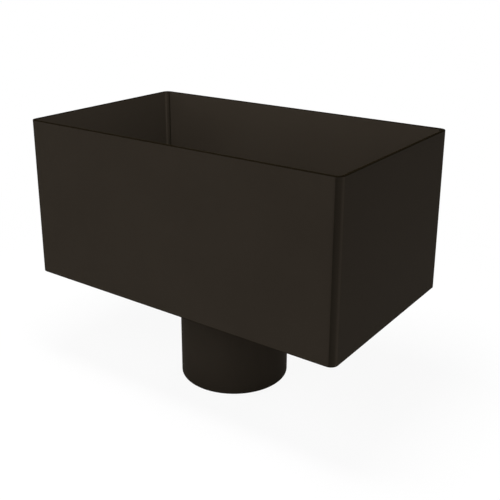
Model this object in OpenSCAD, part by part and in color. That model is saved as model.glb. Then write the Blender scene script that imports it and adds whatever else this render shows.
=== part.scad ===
// Downpipe hopper head: an open-topped box of folded sheet with a flat welded-in base
// and a round outlet tube that leads the rainwater into the downpipe.
// Millimetres, +Z up. The origin is on the outlet's axis, at its lower end.
// The back of the box looks along +Y, to the wall, and its front along -Y.

/* [Box] */
// Outside width of the box, along the wall
box_w = 240; // [160:1:400]
// Outside depth of the box, out from the wall
box_d = 140; // [120:1:300]
// Outside height of the box
box_h = 110; // [60:1:300]
// Inside radius of the folds at the four upright corners
fold_inner_r = 3; // [1:0.5:8]

/* [Sheet] */
// Thickness of the folded sheet of the box
sheet_t = 2; // [1:0.25:4]
// Thickness of the flat base
base_t = 2; // [1:0.25:4]

/* [Outlet] */
// Outside diameter of the outlet tube
outlet_d = 76; // [50:1:100]
// Wall of the outlet tube
outlet_wall = 2; // [1:0.25:4]
// Length of the outlet tube below the box
outlet_drop = 70; // [30:1:150]

/* [Hidden] */
$fn = 96;
coat_colour = [0.18, 0.16, 0.137];
// The folds keep the sheet's thickness all the way round the corner
fold_outer_r = fold_inner_r + sheet_t;
// The base's hole carries on the bore of the outlet tube
outlet_bore_d = outlet_d - 2 * outlet_wall;

// Plan of the box drawn in by inset, with its corners concentric with the folds
module box_plan(inset) {
    plan_w = box_w - 2 * inset;
    plan_d = box_d - 2 * inset;
    corner_r = fold_outer_r - inset;
    square([plan_w - 2 * corner_r, plan_d], center = true);
    square([plan_w, plan_d - 2 * corner_r], center = true);
    for (side_x = [-1, 1], side_y = [-1, 1])
        translate([side_x * (plan_w / 2 - corner_r), side_y * (plan_d / 2 - corner_r)])
            circle(r = corner_r);
}

// Four walls folded from one strip, open at the top and the bottom
module box_sleeve() {
    color(coat_colour)
        translate([0, 0, outlet_drop])
            linear_extrude(box_h)
                difference() {
                    box_plan(0);
                    box_plan(sheet_t);
                }
}

// Flat base, set inside the sleeve flush with its lower edge, with a hole over the outlet
module base_plate() {
    color(coat_colour)
        translate([0, 0, outlet_drop])
            linear_extrude(base_t)
                difference() {
                    box_plan(sheet_t);
                    circle(d = outlet_bore_d);
                }
}

// Plain round tube, square at both ends, set on the underside of the base around its hole
module outlet_tube() {
    color(coat_colour)
        linear_extrude(outlet_drop)
            difference() {
                circle(d = outlet_d);
                circle(d = outlet_bore_d);
            }
}

box_sleeve();
base_plate();
outlet_tube();
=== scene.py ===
import math

import bmesh
import bpy
from mathutils import Matrix, Vector


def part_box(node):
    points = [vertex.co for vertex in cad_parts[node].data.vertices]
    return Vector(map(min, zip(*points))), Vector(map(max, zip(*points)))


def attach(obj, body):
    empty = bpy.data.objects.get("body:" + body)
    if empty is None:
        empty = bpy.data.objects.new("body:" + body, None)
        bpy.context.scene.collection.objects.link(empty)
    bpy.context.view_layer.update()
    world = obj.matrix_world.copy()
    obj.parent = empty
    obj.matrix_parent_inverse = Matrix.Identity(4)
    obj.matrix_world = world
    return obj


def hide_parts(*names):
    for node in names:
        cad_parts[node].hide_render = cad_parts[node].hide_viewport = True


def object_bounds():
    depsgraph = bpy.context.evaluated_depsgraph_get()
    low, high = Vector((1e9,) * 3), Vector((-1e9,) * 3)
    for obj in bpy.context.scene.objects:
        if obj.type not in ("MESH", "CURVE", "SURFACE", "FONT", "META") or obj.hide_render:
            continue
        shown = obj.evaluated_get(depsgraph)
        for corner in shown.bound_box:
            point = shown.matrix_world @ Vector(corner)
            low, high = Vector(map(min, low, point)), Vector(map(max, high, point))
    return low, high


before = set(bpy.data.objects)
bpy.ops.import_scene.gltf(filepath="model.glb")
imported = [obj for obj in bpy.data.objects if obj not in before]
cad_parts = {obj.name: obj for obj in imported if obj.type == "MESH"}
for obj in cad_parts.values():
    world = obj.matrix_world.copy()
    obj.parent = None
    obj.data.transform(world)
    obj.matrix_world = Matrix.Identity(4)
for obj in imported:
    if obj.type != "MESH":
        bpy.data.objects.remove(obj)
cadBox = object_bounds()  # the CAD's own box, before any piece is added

millimetre = 0.001
scene = bpy.context.scene
scene.view_settings.view_transform = "Standard"
print("frame:", ", ".join(sorted(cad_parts)))


# one socket of a node tree, so that shader maths reads as plain sums
class Sock:
    def __init__(self, tree, socket=None):
        self.tree = tree
        self.socket = socket

    # adds any node: settings go on first, then values or links for its sockets
    def add(self, kind, settings=None, inputs=None, output=0):
        node = self.tree.nodes.new(kind)
        for name, value in (settings or {}).items():
            setattr(node, name, value)
        for name, value in (inputs or {}).items():
            if isinstance(value, Sock):
                self.tree.links.new(value.socket, node.inputs[name])
            else:
                node.inputs[name].default_value = value
        return Sock(self.tree, node.outputs[output] if node.outputs else None)

    def maths(self, operation, first, second):
        return self.add("ShaderNodeMath", {"operation": operation}, {0: first, 1: second})

    def __add__(self, other):
        return self.maths("ADD", self, other)

    def __radd__(self, other):
        return self.maths("ADD", other, self)

    def __sub__(self, other):
        return self.maths("SUBTRACT", self, other)

    def __rsub__(self, other):
        return self.maths("SUBTRACT", other, self)

    def __mul__(self, other):
        return self.maths("MULTIPLY", self, other)

    def __rmul__(self, other):
        return self.maths("MULTIPLY", other, self)

    # this value from low..high, eased to 0..1
    def ease(self, low, high):
        return self.add("ShaderNodeMapRange", {"interpolation_type": "SMOOTHSTEP"},
                        {"Value": self, "From Min": low, "From Max": high})

    # two colours, mixed by this value
    def colours(self, low, high):
        return self.add("ShaderNodeMix", {"data_type": "RGBA"},
                        {"Factor": self, "A": low, "B": high}, "Result")


# empties the nodes of a material or a world, ready for new ones
def startNodes(owner):
    owner.use_nodes = True
    owner.node_tree.nodes.clear()
    return Sock(owner.node_tree)


def noiseAt(place, size, detail):
    return place.add("ShaderNodeTexNoise", {},
                     {"Vector": place, "Scale": 1 / size, "Detail": detail}, "Fac")


coat = {
    "lowColour": (0.0235, 0.0188, 0.0138, 1),
    "highColour": (0.0255, 0.0205, 0.0152, 1),
    "cloudSize": 60 * millimetre,  # slow change of tone over a panel
    "cloudRange": (0.3, 0.7),
    "cloudInTone": 0.75,  # the rest of the change follows the grain
    "cloudInRoughness": 0.6,
    "roughness": (0.76, 0.84),
    "specular": 0.015,
    "paintedFoldShade": 0.9,  # painted shade, darkest where a fold begins
    "paintedHighlightColour": (0.0335, 0.0268, 0.0198, 1),  # painted highlight, a lighter line where the fold ends
    "paintedHighlightFrom": (0.0, 0.035),
    "paintedHighlightTo": (0.05, 0.2),
    "paintedShadeColour": (0.0041, 0.0030, 0.0015, 1),  # painted shade: the rims and the tube's lip almost black, and the dark of the folds
    "paintedShadeHighColour": (0.0045, 0.0033, 0.0017, 1),
    "edgeRoughness": 1.0,
    "peelSize": 2.2 * millimetre,  # orange peel of the baked powder, under a finer grain
    "peelDepth": 0.04 * millimetre,
    "grainSize": 0.45 * millimetre,
    "grainDepth": 0.03 * millimetre,
}
cloudDetail, peelDetail, grainDetail = 3, 1, 2  # how finely each noise is broken up


# the grain of the baked powder, and the bump that it gives together with the peel
def coatGrain(start, place):
    peel = noiseAt(place, coat["peelSize"], peelDetail)
    grain = noiseAt(place, coat["grainSize"], grainDetail)
    height = coat["peelDepth"] * peel + coat["grainDepth"] * grain
    bump = start.add("ShaderNodeBump", {}, {"Height": height, "Strength": 1.0, "Distance": 1.0})
    return grain, bump


def makeCoat():
    material = bpy.data.materials.new("powderCoat")
    start = startNodes(material)
    place = start.add("ShaderNodeTexCoord", output="Object")
    cloud = noiseAt(place, coat["cloudSize"], cloudDetail).ease(*coat["cloudRange"])
    grain, bump = coatGrain(start, place)

    share = coat["cloudInTone"]
    tone = share * cloud + (1 - share) * grain
    panel = tone.colours(coat["lowColour"], coat["highColour"])
    fold = start.add("ShaderNodeAttribute", {"attribute_name": "fold"}, output="Fac")
    # painted shade: the coat is darkened across each fold
    panel = (coat["paintedFoldShade"] * fold).colours(panel, coat["paintedShadeColour"])
    # painted highlight: a lighter line near the end of each fold
    foldHighlight = fold.ease(*coat["paintedHighlightFrom"]) * (1 - fold.ease(*coat["paintedHighlightTo"]))
    panel = foldHighlight.colours(panel, coat["paintedHighlightColour"])

    share = coat["cloudInRoughness"]
    low, high = coat["roughness"]
    roughness = low + (high - low) * (share * cloud + (1 - share) * grain)
    face = start.add("ShaderNodeBsdfPrincipled", {}, {
        "Base Color": panel, "Roughness": roughness,
        "Specular IOR Level": coat["specular"], "Normal": bump})
    start.add("ShaderNodeOutputMaterial", {}, {"Surface": face})
    return material


# the coat over the rims and the tube's lip: painted shade, almost black and without gloss
def makePaintedShadeCoat():
    material = bpy.data.materials.new("paintedShadeCoat")
    start = startNodes(material)
    place = start.add("ShaderNodeTexCoord", output="Object")
    grain, bump = coatGrain(start, place)
    tone = grain.colours(coat["paintedShadeColour"], coat["paintedShadeHighColour"])
    edge = start.add("ShaderNodeBsdfPrincipled", {}, {
        "Base Color": tone, "Roughness": coat["edgeRoughness"],
        "Specular IOR Level": 0.0, "Normal": bump})
    start.add("ShaderNodeOutputMaterial", {}, {"Surface": edge})
    return material


powderCoat = makeCoat()
paintedShadeCoat = makePaintedShadeCoat()
# the darker cut edges are painted shade on the rims and the tube's lip
print("coat: one brown-black powder coat, darker on the cut edges")


mergeGap = 0.001 * millimetre
sharpAngle = math.radians(40)
panelWeight = 100  # large faces keep their own normals
flatLean = 0.9  # a face lies flat when the z of its normal is above this
uprightLean = 0.1  # and stands upright when it is below this


# merges doubles and turns all faces outwards
def closeShape(bm):
    bmesh.ops.remove_doubles(bm, verts=bm.verts, dist=mergeGap)
    bmesh.ops.recalc_face_normals(bm, faces=bm.faces)


# a bmesh becomes a piece of the hopper, smooth over its small radii and flat on its panels
def addPiece(name, bm, *nodes):
    closeShape(bm)
    for face in bm.faces:
        face.smooth = True
    mesh = bpy.data.meshes.new(name)
    bm.to_mesh(mesh)
    bm.free()
    mesh.set_sharp_from_angle(angle=sharpAngle)
    mesh.materials.append(powderCoat)
    if any(face.material_index for face in mesh.polygons):
        mesh.materials.append(paintedShadeCoat)
    piece = bpy.data.objects.new(name, mesh)
    scene.collection.objects.link(piece)
    normals = piece.modifiers.new("flatPanels", "WEIGHTED_NORMAL")
    normals.weight = panelWeight
    normals.keep_sharp = True
    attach(piece, "root")
    if nodes:
        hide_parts(*nodes)
    return piece


def vertsOf(geom):
    return [v for v in geom if isinstance(v, bmesh.types.BMVert)]


def roundOff(bm, geom, affect, radius, segments):
    bmesh.ops.bevel(bm, geom=geom, offset=radius, offset_type="OFFSET", segments=segments,
                    profile=0.5, affect=affect, material=-1)


# a flat face with rounded corners, at the height of low
def roundedFace(low, high, radius, segments):
    bm = bmesh.new()
    middle = (low + high) / 2
    bmesh.ops.create_grid(bm, x_segments=1, y_segments=1, size=0.5)
    bmesh.ops.scale(bm, vec=(high.x - low.x, high.y - low.y, 1), verts=bm.verts)
    bmesh.ops.translate(bm, vec=(middle.x, middle.y, low.z), verts=bm.verts)
    roundOff(bm, bm.verts[:], "VERTICES", radius, segments)
    return bm


# lifts all faces of a flat bmesh into a solid
def raiseFaces(bm, height):
    made = bmesh.ops.extrude_face_region(bm, geom=bm.faces[:])["geom"]
    bmesh.ops.translate(bm, vec=(0, 0, height), verts=vertsOf(made))
    bmesh.ops.recalc_face_normals(bm, faces=bm.faces)


# keeps a rim of the given width round a flat face and takes out the middle
def keepRim(bm, width):
    rim = bmesh.ops.inset_region(bm, faces=bm.faces[:], thickness=width, use_even_offset=True,
                                 use_boundary=True)["faces"]
    bmesh.ops.delete(bm, geom=[f for f in bm.faces if f not in rim], context="FACES")


# edges between a flat rim and an upright wall
def rimEdges(bm):
    flat = {f for f in bm.faces if abs(f.normal.z) > flatLean}
    upright = {f for f in bm.faces if abs(f.normal.z) < uprightLean}
    return [e for e in bm.edges
            if any(f in flat for f in e.link_faces) and any(f in upright for f in e.link_faces)]


# the rims and their small radii, which are all the faces that don't stand upright; they get the
# almost black coat of painted shade
def markCutEdges(bm):
    bm.normal_update()
    for face in bm.faces:
        face.material_index = int(abs(face.normal.z) > uprightLean)


# turns a profile all the way round the outlet's axis
def spinRound(bm, steps):
    bmesh.ops.spin(bm, geom=bm.verts[:] + bm.edges[:], cent=(0, 0, 0), axis=(0, 0, 1),
                   angle=2 * math.pi, steps=steps, use_merge=True)
    closeShape(bm)


sleeve = {
    "sheet": 2 * millimetre,
    "foldRadius": 5 * millimetre,  # outside of the fold
    "foldSegments": 16,
    "shadeTurn": 16,  # degrees into a fold at which the painted shade on its outside begins
    "edgeRadius": 0.4 * millimetre,  # deburred and coated sheet edge
    "edgeSegments": 3,
}
innerFold = sleeve["foldRadius"] - sleeve["sheet"]
foldTurn = 0.02  # a face is part of a fold when x and y of its normal are both above this
sleeveLow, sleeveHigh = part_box("box_sleeve")


# both sides of the folds, from 1 beside the front or the back down to 0 beside an end; this
# mask carries the painted shade and the painted highlight of the folds
def markFolds(bm):
    bm.normal_update()
    fold = bm.loops.layers.float.new("fold")
    foldStart = sleeveHigh.x - sleeve["foldRadius"]
    shadeStart = math.sin(math.radians(sleeve["shadeTurn"]))
    for face in bm.faces:
        outside = face.normal.dot(face.calc_center_median()) > 0
        start = shadeStart if outside else foldTurn
        if abs(face.normal.x) > start and abs(face.normal.y) > foldTurn:
            radius = sleeve["foldRadius"] if outside else innerFold
            for loop in face.loops:
                loop[fold] = 1 - (abs(loop.vert.co.x) - foldStart) / radius


def makeSleeve():
    bm = roundedFace(sleeveLow, sleeveHigh, sleeve["foldRadius"], sleeve["foldSegments"])
    keepRim(bm, sleeve["sheet"])
    raiseFaces(bm, sleeveHigh.z - sleeveLow.z)
    roundOff(bm, rimEdges(bm), "EDGES", sleeve["edgeRadius"], sleeve["edgeSegments"])
    markFolds(bm)
    markCutEdges(bm)
    return addPiece("boxSleeve", bm, "box_sleeve")


makeSleeve()
print("sleeve: folded from one strip")


tube = {
    "wall": 2 * millimetre,
    "lipRadius": 0.5 * millimetre,
    "lipSegments": 4,
    "steps": 128,
}
tubeLow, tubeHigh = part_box("outlet_tube")
tubeRadius = tubeHigh.x
boreRadius = tubeRadius - tube["wall"]


def makeTube():
    bm = bmesh.new()
    middle = (tubeLow.z + tubeHigh.z) / 2
    bmesh.ops.create_grid(bm, x_segments=1, y_segments=1, size=0.5)
    bmesh.ops.scale(bm, vec=(tube["wall"], tubeHigh.z - tubeLow.z, 1), verts=bm.verts)
    bmesh.ops.rotate(bm, matrix=Matrix.Rotation(math.pi / 2, 3, "X"), verts=bm.verts)
    bmesh.ops.translate(bm, vec=((tubeRadius + boreRadius) / 2, 0, middle), verts=bm.verts)
    lip = [v for v in bm.verts if v.co.z < middle]
    roundOff(bm, lip, "VERTICES", tube["lipRadius"], tube["lipSegments"])
    bmesh.ops.delete(bm, geom=bm.faces[:], context="FACES_ONLY")
    spinRound(bm, tube["steps"])
    markCutEdges(bm)
    return addPiece("outletTube", bm, "outlet_tube")


plate = {"edgeRadius": 0.3 * millimetre, "edgeSegments": 2}
plateLow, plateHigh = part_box("base_plate")


def makePlate():
    bm = roundedFace(plateLow, plateHigh, innerFold, sleeve["foldSegments"])
    bmesh.ops.delete(bm, geom=bm.faces[:], context="FACES_ONLY")
    bmesh.ops.create_circle(bm, cap_ends=False, segments=tube["steps"], radius=boreRadius,
                            matrix=Matrix.Translation((0, 0, plateLow.z)))
    bmesh.ops.triangle_fill(bm, use_beauty=True, edges=bm.edges[:], normal=(0, 0, 1))
    raiseFaces(bm, plateHigh.z - plateLow.z)
    roundOff(bm, rimEdges(bm), "EDGES", plate["edgeRadius"], plate["edgeSegments"])
    return addPiece("basePlate", bm, "base_plate")


makePlate()
print("base plate: flat, with the outlet's hole")
makeTube()
print("outlet tube: spun about its axis")


# welds under the coat: leg of the fillet, its crown, and the ripples left along it
weld = {
    "leg": 2.5 * millimetre,
    "crown": 0.35 * millimetre,
    "crownCuts": 5,
    "pitch": 2.6 * millimetre,
    "ripple": 0.14 * millimetre,
    "lag": 2.2,  # how far the middle of a ripple trails behind its ends
    "stepsPerRipple": 6,
}
weldEnd = 0.01  # the share of a leg at its ends that isn't swelled


# swells a flat fillet: across runs from 0 on one leg to 1 on the other,
# and along is the way that it was laid
def crownWeld(vert, across, along):
    if weldEnd < across < 1 - weldEnd:
        hump = 4 * across * (1 - across)
        wave = math.sin(2 * math.pi * along / weld["pitch"] + weld["lag"] * hump)
        vert.co += vert.normal * hump * (weld["crown"] + weld["ripple"] * wave)


def makeOutletWeld():
    bm = bmesh.new()
    leg = weld["leg"]
    corner = bm.verts.new((tubeRadius, 0, tubeHigh.z))
    onPlate = bm.verts.new((tubeRadius + leg, 0, tubeHigh.z))
    onTube = bm.verts.new((tubeRadius, 0, tubeHigh.z - leg))
    bm.edges.new((corner, onPlate))
    bm.edges.new((corner, onTube))
    slope = bm.edges.new((onPlate, onTube))
    bmesh.ops.subdivide_edges(bm, edges=[slope], cuts=weld["crownCuts"])
    ripples = round(2 * math.pi * (tubeRadius + leg / 2) / weld["pitch"])
    spinRound(bm, ripples * weld["stepsPerRipple"])
    bm.normal_update()
    for vert in bm.verts:
        if math.hypot(vert.co.x, vert.co.y) - tubeRadius > weldEnd * leg:
            turn = math.atan2(vert.co.y, vert.co.x) / (2 * math.pi)
            crownWeld(vert, (tubeHigh.z - vert.co.z) / leg, turn * ripples * weld["pitch"])
    return addPiece("outletWeld", bm)


def makeBaseWeld():
    leg = weld["leg"]
    low = Vector((plateLow.x, plateLow.y, plateHigh.z))
    bm = roundedFace(low, plateHigh, innerFold, sleeve["foldSegments"])
    step = weld["pitch"] / weld["stepsPerRipple"]
    for edge in [e for e in bm.edges if e.calc_length() > weld["pitch"]]:
        cuts = round(edge.calc_length() / step) - 1
        bmesh.ops.subdivide_edges(bm, edges=[edge], cuts=cuts)
    outer = bm.edges[:]
    keepRim(bm, leg)
    inner = [e for e in bm.edges if e.is_boundary and e not in outer]
    made = bmesh.ops.extrude_edge_only(bm, edges=outer)["geom"]
    bmesh.ops.translate(bm, vec=(0, 0, leg), verts=vertsOf(made))
    upper = [e for e in made if isinstance(e, bmesh.types.BMEdge) and e.is_boundary]
    slope = bmesh.ops.bridge_loops(bm, edges=upper + inner)["faces"]
    rungs = {e for f in slope for e in f.edges if all(g in slope for g in e.link_faces)}
    bmesh.ops.subdivide_edges(bm, edges=list(rungs), cuts=weld["crownCuts"], use_grid_fill=True)
    bmesh.ops.recalc_face_normals(bm, faces=bm.faces)
    bm.normal_update()
    for vert in bm.verts:
        crownWeld(vert, (vert.co.z - plateHigh.z) / leg, vert.co.x + vert.co.y)
    return addPiece("baseWeld", bm)


makeOutletWeld()
makeBaseWeld()
print("welds: outlet to base, base to sleeve")


# the floor keeps a soft shadow and shows white to the camera and to reflections
stageLook = {
    "floorRadius": 12.0,
    "floorSegments": 64,
    "floorColour": (0.80, 0.80, 0.80, 1),
    "shadowShare": 0.08,  # how much of the lit floor shows near the hopper
    "shadowReach": (0.15, 0.5),  # where that fades into plain white
    "fill": 0.05,
}


def whiteRays(start):
    path = start.add("ShaderNodeLightPath")
    rays = [Sock(start.tree, path.socket.node.outputs[name])
            for name in ("Is Camera Ray", "Is Glossy Ray", "Is Transmission Ray")]
    return start.maths("MAXIMUM", rays[0], start.maths("MAXIMUM", rays[1], rays[2]))


def makeFloor():
    material = bpy.data.materials.new("paleFloor")
    start = startNodes(material)
    matt = start.add("ShaderNodeBsdfDiffuse", {}, {"Color": stageLook["floorColour"]})
    white = start.add("ShaderNodeEmission", {}, {"Strength": 1.0})
    place = start.add("ShaderNodeTexCoord", output="Object")
    away = start.add("ShaderNodeVectorMath", {"operation": "LENGTH"}, {0: place}, "Value")
    shadow = stageLook["shadowShare"] * (1 - away.ease(*stageLook["shadowReach"]))
    plain = whiteRays(start) * (1 - shadow)
    top = start.add("ShaderNodeMixShader", {}, {0: plain, 1: matt, 2: white})
    below = start.add("ShaderNodeNewGeometry", output="Backfacing")
    clear = start.add("ShaderNodeBsdfTransparent")  # open to a look from underneath
    floorLook = start.add("ShaderNodeMixShader", {}, {0: below, 1: top, 2: clear})
    start.add("ShaderNodeOutputMaterial", {}, {"Surface": floorLook})
    bm = bmesh.new()
    bmesh.ops.create_circle(bm, cap_ends=True, segments=stageLook["floorSegments"],
                            radius=stageLook["floorRadius"])
    mesh = bpy.data.meshes.new("floor")
    bm.to_mesh(mesh)
    bm.free()
    mesh.materials.append(material)
    floor = bpy.data.objects.new("floor", mesh)
    floor.location.z = cadBox[0][2]
    scene.collection.objects.link(floor)


def makeWorld():
    world = bpy.data.worlds.new("studio")
    start = startNodes(world)
    strength = stageLook["fill"] + (1 - stageLook["fill"]) * whiteRays(start)
    sky = start.add("ShaderNodeBackground", {}, {"Color": (1, 1, 1, 1), "Strength": strength})
    start.add("ShaderNodeOutputWorld", {}, {"Surface": sky})
    scene.world = world


# soft boxes: bearing from the front towards the right, height angle, distance, side, watts
softBoxes = {
    "frontBox": (0, 45, 1.2, 0.6, 5.3),
    "leftBox": (-40, 18, 1.2, 0.6, 2.6),
    "rightBox": (88, 14, 1.2, 0.6, 2.9),
    "overheadBox": (0, 82, 0.46, 0.22, 4.3),
    "backBox": (-165, 20, 1.2, 0.6, 7.0),
}


# turned to a bearing and tipped down from a height angle
def lookFrom(bearing, height):
    return (Matrix.Rotation(math.radians(bearing), 4, "Z")
            @ Matrix.Rotation(math.radians(90 - height), 4, "X"))


def makeLights():
    aim = Vector((0, 0, (cadBox[0][2] + cadBox[1][2]) / 2))
    for name, (bearing, height, distance, side, watts) in softBoxes.items():
        light = bpy.data.lights.new(name, "AREA")
        light.shape = "SQUARE"
        light.size = side
        light.energy = watts
        lamp = bpy.data.objects.new(name, light)
        lamp.matrix_world = (Matrix.Translation(aim) @ lookFrom(bearing, height)
                             @ Matrix.Translation((0, 0, distance)))
        lamp.visible_camera = False
        scene.collection.objects.link(lamp)


makeFloor()
makeWorld()
makeLights()
print("stage: pale floor, white surround, soft boxes:", ", ".join(softBoxes))


view = {
    "place": (0.3058, -0.4109, 0.2914),
    "bearing": 35.45,
    "height": 17.76,
    "roll": 0.2,
    "lens": 56.87,
    "shift": -0.1,
}


def makeCamera():
    camera = bpy.data.cameras.new("photoView")
    camera.lens = view["lens"]
    camera.shift_y = view["shift"]
    eye = bpy.data.objects.new("photoView", camera)
    eye.matrix_world = (Matrix.Translation(view["place"])
                        @ lookFrom(view["bearing"], view["height"])
                        @ Matrix.Rotation(math.radians(view["roll"]), 4, "Z"))
    scene.collection.objects.link(eye)
    scene.camera = eye


makeCamera()
print("camera: at the photograph's viewing angle")
